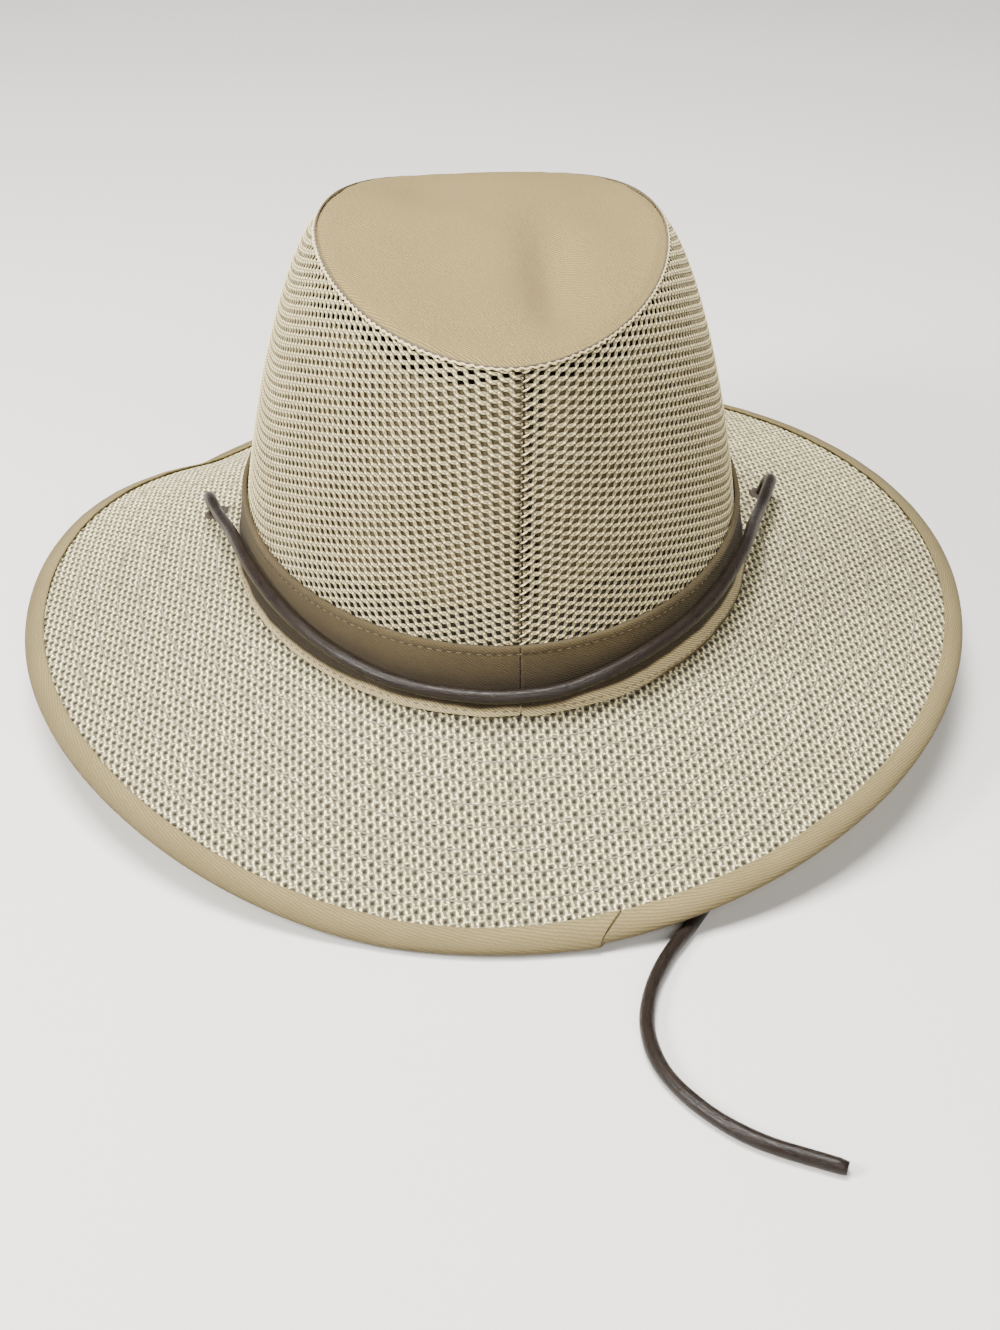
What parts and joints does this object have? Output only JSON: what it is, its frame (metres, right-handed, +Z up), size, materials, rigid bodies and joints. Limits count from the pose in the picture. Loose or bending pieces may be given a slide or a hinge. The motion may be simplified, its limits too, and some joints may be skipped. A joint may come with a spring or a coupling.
{
  "type": "safari hat",
  "caption": "Wide-brimmed sun hat with an open net crown, smooth pinched top, cloth band, knitted brim with a bound edge, and a leather chin cord through eyelets in the brim.",
  "frame": {"origin": "centre of the hat's box without its cord, on the surface that the brim rests on", "axes": "+Z up out of the top of the crown, +Y towards the wearer's front, +X towards the wearer's right"},
  "size_m": [0.3208, 0.4354, 0.147],
  "materials": {
    "crown_net": "matt knotted cotton and polyester net with small open holes",
    "twill": "matt fine cotton twill, khaki tan",
    "band_twill": "matt fine cotton twill, darker khaki",
    "sweatband_cloth": "matt dark absorbent cloth",
    "brim_knit": "matt spacer knit in pale sand with small holes",
    "binding_twill": "matt twill tape folded over the brim's edge",
    "eyelet_thread": "tightly wound olive-brown thread",
    "cord_leather": "dark brown round leather cord, worn paler on its ridges",
    "slider_leather": "smooth mid-brown leather"
  },
  "bodies": {
    "root": {"crown_side_left": "crown_net", "crown_side_right": "crown_net", "crown_top": "twill", "hat_band": "band_twill", "sweatband": "sweatband_cloth", "brim": "brim_knit", "brim_binding": "binding_twill", "eyelet_left": "eyelet_thread", "eyelet_right": "eyelet_thread", "chin_cord_over_brim": "cord_leather", "chin_cord_left": "cord_leather", "chin_cord_right": "cord_leather", "cord_slider": "slider_leather"}
  },
  "joints": []
}
